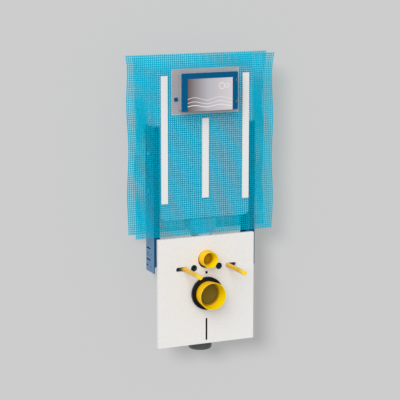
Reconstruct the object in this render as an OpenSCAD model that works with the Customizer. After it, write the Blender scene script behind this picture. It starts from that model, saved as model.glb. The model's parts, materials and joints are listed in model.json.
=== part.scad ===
// Frame for a wall hung toilet: cistern between two steel legs, with plaster net, flush and drain bends.
// X runs to the right seen from the front, Y to the back and Z up. The origin is at the middle of
// the rear crossbar's back face, level with the fixing rods. Heights are given above the finished
// floor, and depths are measured forwards from the wall plane.

/* [Frame] */
// Height of the fixing rods above the floor
rod_h = 320; // [310:1:340]
// Outer width across both legs
frame_w = 418; // [416:1:440]
// Depth of the legs and the cistern
frame_d = 80; // [78:1:100]
// Height of the legs' lower ends
leg_low_h = 311; // [300:1:315]
// Height of the legs' upper ends
leg_top_h = 864; // [780:1:900]
// Steel thickness of the legs
leg_t = 2; // [1.5:0.5:3]
// Width of the legs' front and back flanges
leg_flange = 25; // [20:1:30]
// Outer bend radius of the legs
leg_bend_r = 4; // [3.5:0.5:6]
// Length by which the front flange stops short of the leg's lower end
leg_front_cut = 24; // [10:1:30]

/* [Leg slots] */
// Height of the stamped slots' width
leg_slot_w = 5; // [3:0.5:7]
// Depth at which the horizontal slots start
leg_slot_from_d = 5; // [4.5:0.5:8]
// Length of the two long horizontal slots
leg_slot_long = 42; // [30:1:50]
// Length of the short horizontal slot
leg_slot_short = 18; // [12:1:24]
// Height of the upper long slot
leg_slot_top_h = 400; // [392:1:420]
// Height of the lower long slot
leg_slot_mid_h = 356; // [350:1:362]
// Height of the short slot
leg_slot_low_h = 333; // [327:1:340]
// Height of the upright slot's middle
leg_upright_h = 378; // [374:1:382]
// Length of the upright slots
leg_upright_l = 20; // [14:1:24]
// Depth of the upright slots' middle line
leg_upright_d = 22; // [16:1:30]
// Radius of the small round holes
leg_hole_r = 2.5; // [1.5:0.5:4]
// Depth of the small round holes
leg_hole_d = 52; // [48:1:60]

/* [Leg fittings] */
// Overlap of the plastic clips with the legs' front flanges
leg_clip_over = 6; // [4:1:10]
// Height of the anchor pads' lower edge
pad_low_h = 812; // [805:1:820]
// Height of the anchor pads
pad_l = 41; // [30:1:44]
// Depth to which the anchor pads reach
pad_d = 62; // [40:1:66]
// Thickness of the anchor pads
pad_t = 2.5; // [1:0.5:4]

/* [Wall fixing] */
// Height of the rear crossbar
bar_w = 56; // [48:1:60]
// Steel thickness of the rear crossbar
bar_t = 3; // [2:0.5:4]
// Length of the crossbar's stepped ends
bar_step_l = 6; // [5:0.5:9]
// Radius of the holes for wall bolts
wall_hole_r = 5.5; // [4:0.5:7]
// Distance between the two wall bolts in the crossbar
wall_hole_span = 300; // [260:5:320]
// Radius of the anchor holes near the legs' upper ends
anchor_hole_r = 4.5; // [3:0.5:6]
// Distance of the anchor holes from the legs' upper ends
anchor_hole_in = 22; // [15:1:40]

/* [Fixing plate] */
// Height of the fixing plate's lower edge
plate_low_h = 294; // [290:1:298]
// Height of the fixing plate's upper edge
plate_top_h = 346; // [340:1:350]
// Height of the lower edge of its narrower ends
plate_tab_low_h = 313; // [312:1:318]
// Length of its narrower ends, from the leg's web
plate_tab_l = 28; // [24:1:36]
// Steel thickness of the fixing plate
plate_t = 3; // [2:0.5:4]
// Depth of its front face behind the legs' front
plate_set = 12; // [11:0.5:16]
// Width of its folded edges
plate_fold = 16; // [10:1:20]
// Room between the notch for the flush socket and the upper folds
fold_gap = 2; // [1:0.5:5]

/* [Fixing rods] */
// Distance between the two rods
rod_pair_w = 180; // [170:1:190]
// Distance between the wider pair of rod holes
wide_pair_w = 230; // [225:1:240]
// Radius of a rod
rod_r = 6; // [5:0.5:6]
// Radius of a rod sleeve
sleeve_r = 8.5; // [8:0.1:9]
// Length of a sleeve in front of the panel
sleeve_out = 149; // [120:1:180]
// Room between a sleeve and its slot in the panel
slot_gap = 0.3; // [0.2:0.1:1]
// Thickness of a sleeve's closed end
sleeve_end = 3; // [2:0.5:5]
// Width across flats of the rod nuts
nut_af = 19; // [18:0.5:19]
// Thickness of the rod nuts
nut_t = 9; // [7:0.5:9]
// Radius of the washers under the nuts
washer_r = 12; // [11:0.5:13]
// Thickness of the washers
washer_t = 2; // [1:0.5:2]

/* [Insulation panel] */
// Width of the panel
panel_w = 395; // [392:1:405]
// Thickness of the panel
panel_t = 14; // [10:1:20]
// Height of the panel's lower edge
panel_low_h = 22.5; // [15:0.5:30]
// Height of the panel's upper edge
panel_top_h = 440.5; // [435:0.5:445]
// Distance of the round holes from the middle
eye_x = 51.5; // [50:0.5:54]
// Radius of the round holes
eye_r = 13; // [10:0.5:14]
// Outer end of the slots for the rods, from the middle
rod_slot_end = 125; // [124:1:130]
// Inner end of the slots for the rods, from the middle
rod_slot_start = 80; // [78:0.5:81]
// Width of the square hole
square_w = 10; // [6:1:12]
// Height of the square hole's middle
square_h = 300; // [298:1:302]
// Width of the upright slit
slit_w = 7.5; // [5:0.5:10]
// Height of the slit's lower end
slit_low_h = 34.5; // [32:0.5:45]
// Height of the slit's upper end
slit_top_h = 122; // [100:1:130]
// Distance of the black inserts behind the panel's front face
insert_in = 1; // [0.5:0.5:2]
// Wall of the black eyelets in the round holes
eyelet_wall = 1.2; // [1:0.1:2]

/* [Flush connection] */
// Height of the flush connection above the floor
flush_h = 355; // [353:1:360]
// Outer radius of the flush bend
flush_r = 25; // [22:0.5:25]
// Wall of the flush bend and its socket
flush_wall = 2.5; // [1.5:0.5:3]
// Bend radius of the flush bend's middle line
flush_bend_r = 30; // [28:1:31]
// Straight length between the flush bend and its socket
flush_straight_l = 2; // [1:0.5:4]
// Thickness of the flush socket's floor
flush_floor = 4; // [3:0.5:6]
// Length of the flush socket
flush_socket_l = 25; // [24:1:26]
// Outer radius of the flush cap
flush_cap_r = 31; // [30.5:0.5:33]
// Room between the flush socket and the notch in the fixing plate
flush_notch_gap = 4; // [2:0.5:5]
// Length of the flush cap in front of the panel
flush_cap_out = 38; // [34:1:42]
// Length of the flush cap behind the panel's front face
flush_cap_in = 20; // [16:0.5:20]
// Radius to which the flush cap's mouth narrows
flush_neck_r = 24; // [22:0.5:25]
// Depth of the shoulder in the flush cap
flush_neck_in = 32; // [26:1:34]
// Radius of the flush cap's recess below the shoulder
flush_recess_r = 20; // [15:0.5:21]
// Depth of the flush cap's recess
flush_recess_d = 42; // [36:1:44]
// Room between the flush cap and the hole in the panel
flush_hole_gap = 4; // [3.5:0.5:6]
// Distance of the hole's middle below the flush cap's
flush_hole_drop = 3.5; // [0:0.5:3.5]
// Wall of the yellow caps
cap_wall = 2; // [1.5:0.5:2.5]
// Bevel of the caps' front edges
cap_edge = 0.5; // [0.2:0.1:1]

/* [Cistern outlet] */
// Height of the outlet collar's lower end
collar_low_h = 430; // [425:1:440]
// Height at which the collar reaches its full width
collar_full_h = 470; // [460:1:480]
// Full radius of the collar
collar_r = 60; // [50:1:70]
// Radius of the collar's lower end
collar_low_r = 34; // [31:1:40]
// Depth of the flats on the collar behind the cistern's faces
collar_set = 4; // [2:1:8]
// Length of pipe inside the collar
collar_grip = 15; // [10:1:20]
// Height of the union nut
union_l = 18; // [12:1:22]
// Radius of the union nut
union_r = 36; // [34:1:38]
// Height of the union nut's ribs
union_rib = 2; // [1:0.5:3]
// Width of the union nut's ribs
union_rib_w = 5; // [3:0.5:7]

/* [Drain] */
// Height of the drain connection above the floor
drain_h = 220; // [216:1:222]
// Outer radius of the drain pipe
drain_r = 45; // [40:0.5:45]
// Wall of the drain pipe
drain_wall = 3.5; // [2:0.5:5]
// Bend radius of the drain's middle line
drain_bend_r = 54; // [52:1:56]
// Depth of the upright drain pipe's middle line
drain_d = 32; // [30:0.5:32.5]
// Height of the drain pipe's lower end
drain_low_h = -9; // [-20:1:10]
// Chamfer at the drain pipe's lower end
drain_chamfer = 3; // [1:0.5:3]
// Height of the beads round the drain pipe
bead_out = 2; // [1:0.5:3]
// Length of the bead at the drain pipe's upper end
bead_l = 4; // [2:0.5:6]
// Length of the bead that stops the clamp from below
stop_bead_l = 3; // [2:0.5:5]
// Radius of the socket's front ring
ring_r = 63; // [60:0.5:66]
// Length of the socket's front ring
ring_l = 13; // [8:0.5:18]
// Bevel of the ring's front edge
ring_edge = 2; // [1:0.5:3]
// Room between the socket and the hole in the panel
drain_hole_gap = 1; // [0.5:0.5:2]
// Wall of the socket behind its ring
socket_wall = 5; // [3:0.5:6]
// Radius of the socket's collar on the drain bend
collar_ring_r = 52; // [51:0.5:53]
// Length of the socket's collar on the drain bend
collar_ring_l = 14; // [10:0.5:15]
// Outer radius of the drain cap inside the socket
drain_cap_r = 48; // [47:0.5:49]
// Outer radius of the drain cap's rim
drain_rim_r = 52.5; // [50:0.5:56]
// Length of the drain cap in front of the ring
drain_cap_out = 50; // [40:1:56]
// Depth of the shoulder in the drain cap
drain_neck_in = 47; // [40:1:48]
// Radius of the drain cap's recess below the shoulder
drain_recess_r = 40; // [36:0.5:43]
// Depth of the drain cap's recess
drain_recess_d = 53; // [49:1:56]
// Width of the clamp round the drain pipe
clamp_w = 25; // [15:1:30]
// Steel thickness of the clamp
clamp_t = 2; // [1.5:0.5:3]
// Length of the clamp's ears
clamp_ear = 14; // [12:1:20]
// Steel thickness of the arms that carry the clamp
arm_t = 3; // [2:0.5:4]
// Width of the arms' lower ends
arm_w = 20; // [14:1:26]
// Height of the clamp's middle
clamp_h = 130; // [100:1:150]

/* [Drain holder] */
// Width of the holder
holder_w = 66; // [60:1:70]
// Height of the holder's upper edge
holder_top_h = 314; // [310:1:318]
// Thickness of the holder
holder_t = 9; // [6:0.5:9]
// Width of the holder's ring round the socket's collar
holder_ring_w = 8; // [5:0.5:10]
// Reach of the ring's ends below the drain's middle line
holder_ring_low = 20; // [0:1:30]

/* [Cistern] */
// Width of the cistern
tank_w = 400; // [396:1:404]
// Height of the cistern's lower edge
tank_low_h = 505; // [490:1:520]
// Height of the cistern's upper edge
tank_top_h = 1070; // [1064:1:1080]
// Radius of the lower corners
tank_low_r = 45; // [30:1:60]
// Radius of the upper corners
tank_top_r = 14; // [10:1:30]
// Rounding of the long edges
tank_edge = 7; // [4:0.5:10]
// Height of the moulding seam round the sides
seam_t = 1.5; // [1:0.5:2]
// Width of the moulding seam
seam_w = 3; // [2:0.5:5]
// Height of the fixing lugs on the sides
lug_l = 44; // [30:1:60]
// Depth of the fixing lugs
lug_d = 46; // [30:1:60]
// Height of the lower lugs' middle
lug_low_h = 620; // [600:5:640]
// Height of the upper lugs' middle
lug_top_h = 760; // [740:5:770]
// Room between the legs' flanges and the sides of the grooves
groove_gap = 2; // [1:0.5:3]
// Radius of the stiffening dimples in the back
dimple_r = 18; // [10:1:24]
// Depth of the stiffening dimples
dimple_d = 3; // [1:0.5:5]

/* [Protection box] */
// Width of the flange
flange_w = 268; // [266:1:280]
// Height of the flange, from the cistern's upper edge down
flange_l = 161; // [156:1:170]
// Thickness of the flange
flange_t = 2; // [1:0.5:3]
// Width of the box
box_w = 220; // [210:1:225]
// Height of the box
box_l = 136; // [130:1:140]
// Wall of the box
box_wall = 3; // [2:0.5:4]
// Distance of the box's middle below the cistern's upper edge
box_in = 80; // [78:1:84]
// Corner radius of the box and its cover
box_corner_r = 4; // [2:0.5:6]
// Depth of the cover's front face in front of the legs
box_out = 46.5; // [30:0.5:60]
// Width of the cover
cover_w = 225; // [222:1:230]
// Height of the cover
cover_l = 140.5; // [138:0.5:144]
// Thickness of the cover
cover_t = 3; // [2:0.5:5]
// Depth of the cover's rim over the box
cover_rim = 5; // [3:0.5:8]
// Width of the card
card_w = 181; // [170:1:190]
// Height of the card
card_l = 120; // [110:1:122]
// Thickness of the card
card_t = 0.8; // [0.5:0.1:2]
// Width of the square hole in the flange
flange_hole_w = 15; // [10:1:15]
// Distance of the square hole from the middle
flange_hole_x = 118.2; // [116:0.2:122]
// Distance of the square hole below the box's middle
flange_hole_in = 29; // [10:1:40]
// Distance of the latch slots in the cover from the middle
latch_x = 107.5; // [107:0.5:109]
// Distance of the latch slots above and below the cover's middle
latch_z = 39; // [25:1:50]
// Width of the latch slots
latch_w = 3.5; // [2:0.5:4]
// Height of the latch slots
latch_l = 12; // [8:1:20]

/* [Plaster net] */
// Width of the net
net_w = 560; // [540:1:580]
// Height of the net's lower edge
net_low_h = 447; // [446:1:460]
// Height of the net above the cistern
net_over = 52; // [40:1:70]
// Thickness of the net
net_t = 1.2; // [1:0.1:1.5]
// Extra half width at the net's upper corners
net_flare = 6; // [0:1:10]
// Height over which the upper corners flare
net_flare_l = 50; // [30:1:80]
// Swing of the net's cut side edges
net_wave = 3; // [0:0.5:4]
// Room between the flange and the opening cut in the net
net_gap = 2; // [1:0.5:4]
// Width of the white strips
strip_w = 26.5; // [20:0.5:30]
// Thickness of the white strips
strip_t = 3; // [1:0.5:5]
// Distance of the side strips from the middle
strip_x = 165.6; // [164:0.2:168]
// Height of the side strips' lower ends
strip_low_h = 573; // [560:1:590]
// Height of the side strips' upper ends
strip_top_h = 1050; // [1000:1:1060]
// Height of the middle strip's lower end
mid_strip_low_h = 586; // [570:1:600]
// Height of the middle strip's upper end
mid_strip_top_h = 887; // [850:1:895]

/* [Hidden] */
$fn = 96;
eps = 0.5;
seat = 0.2;

plate_d = frame_d - plate_set;
panel_d = frame_d + panel_t;
web_x = frame_w / 2 - leg_t;
net_side_x = net_w / 2;
cover_d = frame_d + box_out;
ring_d = panel_d + ring_l;
drain_cap_d = ring_d + drain_cap_out;
drain_bend_d = drain_d + drain_bend_r;
flush_cap_d = panel_d + flush_cap_out;
flush_d = frame_d / 2;
flush_bend_d = flush_d + flush_bend_r;
flush_socket_r = flush_cap_r - cap_wall - seat;
notch_r = flush_socket_r + flush_notch_gap;
rod_hole_r = rod_r + 0.5;
tank_side = tank_w / 2;
groove_x = frame_w / 2 - leg_flange - groove_gap;
groove_d = leg_t + 1;
flush_socket_d = flush_bend_d + flush_straight_l;
clamp_low_h = clamp_h - clamp_w / 2;
clamp_top_h = clamp_h + clamp_w / 2;
flange_top_h = tank_top_h;
flange_low_h = flange_top_h - flange_l;
box_h = tank_top_h - box_in;
net_top_h = tank_top_h + net_over;
net_steps = 18;
net_turn = 1.1;
front_phases = [40, 200];
back_phases = [150, 300];
hull_fn = 32;

// Height above the floor as Z
function up(h) = h - rod_h;

// Round bar or hole along Y, from one depth to another
module along_y(r, d0, d1) {
    translate([0, -d0, 0]) rotate([90, 0, 0]) cylinder(r = r, h = d1 - d0);
}

// Ring along Y, from one depth to another
module ring_y(r_out, r_in, d0, d1) {
    difference() {
        along_y(r_out, d0, d1);
        along_y(r_in, d0 - eps, d1 + eps);
    }
}

// Flat plate in the XZ plane with rounded corners, given by its middle and its size
module plate_y(w, l, d0, d1, r) {
    translate([0, -d0, 0]) rotate([90, 0, 0]) linear_extrude(height = d1 - d0) round_rect(w, l, r);
}

// Rectangle with round corners about the origin
module round_rect(w, l, r) {
    square([w - 2 * r, l], center = true);
    square([w, l - 2 * r], center = true);
    for (sx = [-1, 1], sy = [-1, 1]) {
        translate([sx * (w / 2 - r), sy * (l / 2 - r)]) circle(r = r);
    }
}

// Slot with round ends about the origin, along the first axis
module slot_2d(l, w) {
    square([l - w, w], center = true);
    for (s = [-1, 1]) translate([s * (l - w) / 2, 0]) circle(d = w);
}

// Slot through a leg's web, along Y, from one depth over a length
module web_slot(h, d0, l) {
    translate([frame_w / 2 - leg_t / 2, -d0 - l / 2, up(h)]) rotate([90, 0, 90])
        linear_extrude(height = 2 * leg_t, center = true) slot_2d(l, leg_slot_w);
}

// Upright slot through a leg's web
module upright_slot(h) {
    translate([frame_w / 2 - leg_t / 2, -leg_upright_d, up(h)]) rotate([90, 0, 90])
        linear_extrude(height = 2 * leg_t, center = true) rotate(90) slot_2d(leg_upright_l, leg_slot_w);
}

// Round hole through a leg's web
module web_hole(h, d, r) {
    translate([frame_w / 2 - 2 * leg_t, -d, up(h)]) rotate([0, 90, 0]) cylinder(r = r, h = 3 * leg_t);
}

// Outline of the C section seen from above, with its web on the right
module leg_section() {
    inner_r = leg_bend_r - leg_t;
    difference() {
        translate([frame_w / 2 - leg_flange, -frame_d / 2]) round_rect(2 * leg_flange, frame_d, leg_bend_r);
        translate([frame_w / 2 - leg_flange - leg_t, -frame_d / 2])
            round_rect(2 * leg_flange, frame_d - 2 * leg_t, inner_r);
        translate([frame_w / 2 - 3 * leg_flange, -frame_d - eps]) square([2 * leg_flange, frame_d + 2 * eps]);
    }
}

// Right leg: C section, web outside, with the stamped slots
module leg() {
    color("steelblue") difference() {
        translate([0, 0, up(leg_low_h)]) linear_extrude(height = leg_top_h - leg_low_h) leg_section();
        translate([0, -frame_d - eps, up(leg_low_h) - eps])
            cube([frame_w / 2 - leg_bend_r, leg_bend_r + eps, leg_front_cut + eps]);
        web_slot(leg_slot_top_h, leg_slot_from_d, leg_slot_long);
        web_slot(leg_slot_mid_h, leg_slot_from_d, leg_slot_long);
        web_slot(leg_slot_low_h, leg_slot_from_d, leg_slot_short);
        upright_slot(leg_upright_h);
        upright_slot(leg_top_h - 2 * anchor_hole_in);
        web_hole(leg_upright_h, leg_hole_d, leg_hole_r);
        web_hole(leg_slot_low_h, leg_hole_d, leg_hole_r);
        for (h = [lug_low_h, lug_top_h]) web_hole(h, frame_d / 2, anchor_hole_r);
        translate([frame_w / 2 - leg_flange / 2, 0, up(leg_top_h - anchor_hole_in)])
            along_y(anchor_hole_r, -eps, leg_t + eps);
    }
}

module leg_right() {
    leg();
}

module leg_left() {
    mirror([1, 0, 0]) leg();
}

// Plastic clip between the fixing plate and the right leg's front flange
module leg_clip() {
    clip_w = leg_flange - leg_t - 2;
    clip_d = plate_set - leg_t;
    clip_l = leg_front_cut + leg_clip_over;
    color("gainsboro") translate([web_x - clip_w / 2, clip_d / 2 - frame_d + leg_t, up(leg_low_h)])
        difference() {
            linear_extrude(height = clip_l) round_rect(clip_w, clip_d, leg_bend_r - leg_t + 0.5);
            translate([0, 0, -eps]) linear_extrude(height = clip_l - leg_t)
                round_rect(clip_w - 2 * leg_t, clip_d - 2 * leg_t, 1);
        }
}

module leg_clip_right() {
    leg_clip();
}

module leg_clip_left() {
    mirror([1, 0, 0]) leg_clip();
}

// Plastic pad of the upper wall anchor, on the outer face of the right leg's web
module anchor_pad() {
    color([0.1, 0.1, 0.11])
        translate([frame_w / 2 + pad_t / 2, -(pad_d + leg_t) / 2, up(pad_low_h) + pad_l / 2])
            rotate([90, 0, 90]) linear_extrude(height = pad_t, center = true)
                round_rect(pad_d - leg_t, pad_l, leg_t);
}

module anchor_pad_right() {
    anchor_pad();
}

module anchor_pad_left() {
    mirror([1, 0, 0]) anchor_pad();
}

// Flat bar flush with the wall plane, its ends stepped forwards onto the legs' back flanges
module rear_crossbar() {
    end_x = web_x - leg_bend_r;
    step_x = groove_x;
    step_l = bar_step_l;
    color("steelblue") difference() {
        translate([0, 0, -bar_w / 2]) linear_extrude(height = bar_w) polygon([
            [-end_x, -leg_t], [-step_x, -leg_t], [step_l - step_x, 0],
            [step_x - step_l, 0], [step_x, -leg_t], [end_x, -leg_t],
            [end_x, -leg_t - bar_t], [step_x, -leg_t - bar_t], [step_x - step_l, -bar_t],
            [step_l - step_x, -bar_t], [-step_x, -leg_t - bar_t], [-end_x, -leg_t - bar_t]
        ]);
        for (s = [-1, 1]) translate([s * wall_hole_span / 2, 0, 0]) along_y(wall_hole_r, -eps, bar_t + eps);
        translate([-end_x - eps, -leg_t - bar_t - eps, -bar_w / 2 - eps])
            cube([end_x - step_x + eps, bar_t + leg_t, up(leg_low_h) + bar_w / 2 + eps]);
        translate([step_x, -leg_t - bar_t - eps, -bar_w / 2 - eps])
            cube([end_x - step_x + eps, bar_t + leg_t, up(leg_low_h) + bar_w / 2 + eps]);
    }
}

// Front view of the fixing plate
module plate_outline() {
    mid_w = 2 * (web_x - plate_tab_l);
    difference() {
        union() {
            translate([-mid_w / 2, up(plate_low_h)]) square([mid_w, plate_top_h - plate_low_h]);
            translate([-web_x, up(plate_tab_low_h)]) square([2 * web_x, plate_top_h - plate_tab_low_h]);
        }
        translate([0, up(flush_h)]) circle(r = notch_r);
        for (s = [-1, 1], x = [rod_pair_w / 2, wide_pair_w / 2]) translate([s * x, 0]) circle(r = rod_hole_r);
    }
}

// Folded steel plate between the legs that takes the fixing rods
module fixing_plate() {
    mid_w = 2 * (web_x - plate_tab_l);
    fold_x = notch_r + fold_gap;
    fold_w = mid_w / 2 - fold_x;
    color("midnightblue") union() {
        translate([0, -plate_d + plate_t, 0]) rotate([90, 0, 0])
            linear_extrude(height = plate_t) plate_outline();
        translate([-mid_w / 2, -plate_d, up(plate_low_h)]) cube([mid_w, plate_fold, plate_t]);
        for (x = [-mid_w / 2, fold_x]) {
            translate([x, -plate_d, up(plate_top_h) - plate_t]) cube([fold_w, plate_fold, plate_t]);
        }
    }
}

// Threaded rod between the rear crossbar and the sleeve's end
module rod() {
    color("silver") along_y(rod_r, bar_t, panel_d + sleeve_out - sleeve_end - seat);
}

module rod_left() {
    translate([-rod_pair_w / 2, 0, 0]) rod();
}

module rod_right() {
    translate([rod_pair_w / 2, 0, 0]) rod();
}

// Nut with a bore for the rod
module nut(d0) {
    difference() {
        translate([0, -d0, 0]) rotate([90, 0, 0]) cylinder(d = nut_af / cos(30), h = nut_t, $fn = 6);
        along_y(rod_r + seat, d0 - eps, d0 + nut_t + eps);
    }
}

// Nuts on the crossbar and on both faces of the fixing plate, with washers against the plate
module rod_nuts() {
    color("silver") for (s = [-1, 1]) translate([s * rod_pair_w / 2, 0, 0]) {
        nut(bar_t);
        nut(plate_d - plate_t - washer_t - nut_t);
        ring_y(washer_r, rod_r + seat, plate_d - plate_t - washer_t, plate_d - plate_t);
        ring_y(washer_r, rod_r + seat, plate_d, plate_d + washer_t);
        nut(plate_d + washer_t);
    }
}

// Yellow sleeve over a rod, closed at its tip
module sleeve() {
    tip_d = panel_d + sleeve_out;
    color("gold") difference() {
        union() {
            along_y(sleeve_r, plate_d + washer_t + nut_t, tip_d - 1);
            along_y(sleeve_r - 1, tip_d - 2, tip_d);
        }
        along_y(rod_r + seat, plate_d, tip_d - sleeve_end);
    }
}

module sleeve_left() {
    translate([-rod_pair_w / 2, 0, 0]) sleeve();
}

module sleeve_right() {
    translate([rod_pair_w / 2, 0, 0]) sleeve();
}

// Foam panel with the holes for rods, caps and adjusters
module insulation_panel() {
    slot_w = 2 * (sleeve_r + slot_gap);
    slot_l = rod_slot_end - rod_slot_start;
    color("whitesmoke") difference() {
        translate([0, 0, (up(panel_low_h) + up(panel_top_h)) / 2])
            plate_y(panel_w, panel_top_h - panel_low_h, frame_d, panel_d, 2);
        translate([0, -frame_d + eps, 0]) rotate([90, 0, 0]) linear_extrude(height = panel_t + 2 * eps) {
            for (s = [-1, 1]) {
                translate([s * (rod_slot_start + rod_slot_end) / 2, 0]) slot_2d(slot_l, slot_w);
                translate([s * eye_x, 0]) circle(r = eye_r);
            }
            translate([0, up(flush_h) - flush_hole_drop]) circle(r = flush_cap_r + flush_hole_gap);
            translate([0, up(drain_h)]) circle(r = drain_cap_r + socket_wall + drain_hole_gap);
            small_holes(0);
        }
    }
}

// Front view of the panel's square hole and its upright slit, less a margin all round
module small_holes(margin) {
    translate([0, up(square_h)]) square(square_w - 2 * margin, center = true);
    translate([0, (up(slit_low_h) + up(slit_top_h)) / 2]) rotate(90)
        slot_2d(slit_top_h - slit_low_h - 2 * margin, slit_w - 2 * margin);
}

// Black plugs in the square hole and the slit, and black eyelets in the round holes
module panel_inserts() {
    front = panel_d - insert_in;
    color([0.04, 0.04, 0.05]) {
        translate([0, -frame_d, 0]) rotate([90, 0, 0]) linear_extrude(height = front - frame_d)
            small_holes(seat);
        for (s = [-1, 1]) translate([s * eye_x, 0, 0])
            ring_y(eye_r - seat, eye_r - seat - eyelet_wall, frame_d, front);
    }
}

// One corner of the tank: a disc across its depth with soft edges
module tank_corner(x, h, r) {
    soft = (1 - cos(45)) * tank_edge;
    translate([x, 0, up(h)]) {
        along_y(r, tank_edge, frame_d - tank_edge);
        along_y(r - soft, soft, frame_d - soft);
        along_y(r - tank_edge, 0, frame_d);
    }
}

// Moulded tank, grooved along its sides for the legs' flanges
module cistern() {
    groove_l = leg_top_h - tank_low_h + 2;
    color("darkgray") difference() {
        union() {
            hull() {
                for (s = [-1, 1]) {
                    tank_corner(s * (tank_side - tank_low_r), tank_low_h + tank_low_r, tank_low_r,
                        $fn = hull_fn);
                    tank_corner(s * (tank_side - tank_top_r), tank_top_h - tank_top_r, tank_top_r,
                        $fn = hull_fn);
                }
            }
            seam();
            for (s = [-1, 1], h = [lug_low_h, lug_top_h]) lug(s, h);
        }
        for (s = [-1, 1], d = [0, frame_d]) {
            translate([s * (groove_x + tank_side), -d, up(tank_low_h) + groove_l / 2 - eps])
                cube([2 * tank_side, 2 * groove_d, groove_l + 2 * eps], center = true);
        }
        for (x = [-tank_side / 2, 0, tank_side / 2], h = [lug_low_h, (lug_low_h + box_h) / 2, box_h]) {
            translate([x, 0, up(h)]) along_y(dimple_r, -eps, dimple_d);
        }
    }
}

// Moulding seam round the tank at the middle of its depth
module seam() {
    low = up(tank_low_h);
    span = tank_top_h - tank_low_h;
    r = tank_low_r;
    translate([0, -frame_d / 2 + seam_w / 2, 0]) rotate([90, 0, 0]) linear_extrude(height = seam_w)
        difference() {
            union() {
                translate([-tank_side - seam_t, low + r])
                    square([tank_w + 2 * seam_t, span - r - tank_top_r]);
                translate([r - tank_side, low - seam_t]) square([tank_w - 2 * r, span - tank_top_r]);
                translate([tank_top_r - tank_side, low + r])
                    square([tank_w - 2 * tank_top_r, span - r + seam_t]);
                for (s = [-1, 1]) {
                    translate([s * (tank_side - r), low + r]) circle(r = r + seam_t);
                    translate([s * (tank_side - tank_top_r), low + span - tank_top_r])
                        circle(r = tank_top_r + seam_t);
                }
            }
            translate([-collar_r - seam_t, low - 2 * seam_t])
                square([2 * collar_r + 2 * seam_t, 2 * seam_t]);
        }
}

// Fixing lug on one side of the tank, against the leg's web
module lug(s, h) {
    lug_w = web_x - tank_side;
    translate([s * (tank_side + lug_w / 2 - eps / 2), -frame_d / 2, up(h)]) rotate([90, 0, 90])
        linear_extrude(height = lug_w + eps, center = true) round_rect(lug_d, lug_l, tank_edge);
}

// Collar under the tank: a funnel with flats at the front and the back
module outlet_collar() {
    top = up(tank_low_h);
    low = up(collar_low_h);
    bore_r = flush_r + seat;
    color("darkgray") difference() {
        intersection() {
            translate([0, -flush_d, 0]) rotate_extrude() polygon([
                [0, low], [collar_low_r, low], [collar_r, up(collar_full_h)], [collar_r, top], [0, top]
            ]);
            translate([-collar_r - eps, collar_set - frame_d, low - eps])
                cube([2 * collar_r + 2 * eps, frame_d - 2 * collar_set, top - low + 2 * eps]);
        }
        translate([0, -flush_d, low - eps]) cylinder(r = bore_r, h = collar_grip + eps);
        translate([0, -flush_d, low]) cylinder(r = flush_r - flush_wall, h = top - low - flush_wall);
    }
}

// Ribbed union nut round the flush bend's upper end
module union_nut() {
    ribs = 12;
    top = up(collar_low_h);
    color("dimgray") difference() {
        union() {
            translate([0, -flush_d, top - union_l]) cylinder(r = union_r - union_rib, h = union_l);
            for (i = [0 : ribs - 1]) {
                translate([0, -flush_d, top - union_l]) rotate([0, 0, i * 360 / ribs])
                    translate([union_r - 2 * union_rib, -union_rib_w / 2, 0])
                        cube([2 * union_rib, union_rib_w, union_l]);
            }
        }
        translate([0, -flush_d, top - union_l - eps]) cylinder(r = flush_r + seat, h = union_l + 2 * eps);
    }
}

// Quarter bend about the X axis: it runs from behind its centre to below it
module quarter(r, bend) {
    rotate([0, -90, 0]) rotate([0, 0, 90]) rotate_extrude(angle = 90) translate([bend, 0]) circle(r = r);
}

// Flush bend: from the collar down and forwards to its socket
module flush_bend() {
    z = up(flush_h);
    rise = up(collar_low_h) + collar_grip - z - flush_bend_r;
    inner = flush_r - flush_wall;
    color("dimgray") union() {
        translate([0, -flush_d, z + flush_bend_r]) difference() {
            cylinder(r = flush_r, h = rise);
            translate([0, 0, -eps]) cylinder(r = inner, h = rise + 2 * eps);
        }
        translate([0, -flush_bend_d, z + flush_bend_r]) difference() {
            quarter(flush_r, flush_bend_r);
            quarter(inner, flush_bend_r);
        }
        translate([0, 0, z]) ring_y(flush_r, inner, flush_bend_d, flush_socket_d);
    }
}

// Socket on the flush bend's front end
module flush_socket() {
    from = flush_socket_d;
    color("dimgray") translate([0, 0, up(flush_h)]) difference() {
        along_y(flush_socket_r, from, from + flush_socket_l);
        along_y(flush_r - flush_wall, from - eps, from + flush_floor + eps);
        along_y(flush_socket_r - flush_wall, from + flush_floor, from + flush_socket_l + eps);
    }
}

// Cap: a skirt that may flare to its rim, and a cup inside it that narrows to a shoulder and a floor
module cap(r, rim_r, neck_r, recess_r, from_d, flare_d, to_d, neck_in, recess_d) {
    w = cap_wall;
    slope = (rim_r - w - neck_r) / neck_in;
    neck_d = to_d - neck_in;
    floor_d = to_d - recess_d;
    neck_out = min(neck_r + w, r - w);
    join_d = neck_d - w + (r - w - neck_out) / slope;
    rotate([90, 0, 0]) rotate_extrude() polygon([
        [0, floor_d - w], [recess_r + w, floor_d - w], [recess_r + w, neck_d - w], [neck_out, neck_d - w],
        [r - w, join_d], [r - w, from_d], [r, from_d], [r, flare_d], [rim_r, to_d - cap_edge],
        [rim_r - cap_edge, to_d], [rim_r - w, to_d], [neck_r, neck_d], [recess_r, neck_d],
        [recess_r, floor_d], [0, floor_d]
    ]);
}

// Yellow cap over the flush socket
module flush_cap() {
    color("gold") translate([0, 0, up(flush_h)])
        cap(flush_cap_r, flush_cap_r, flush_neck_r, flush_recess_r,
            panel_d - flush_cap_in, panel_d, flush_cap_d, flush_neck_in, flush_recess_d);
}

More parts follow.
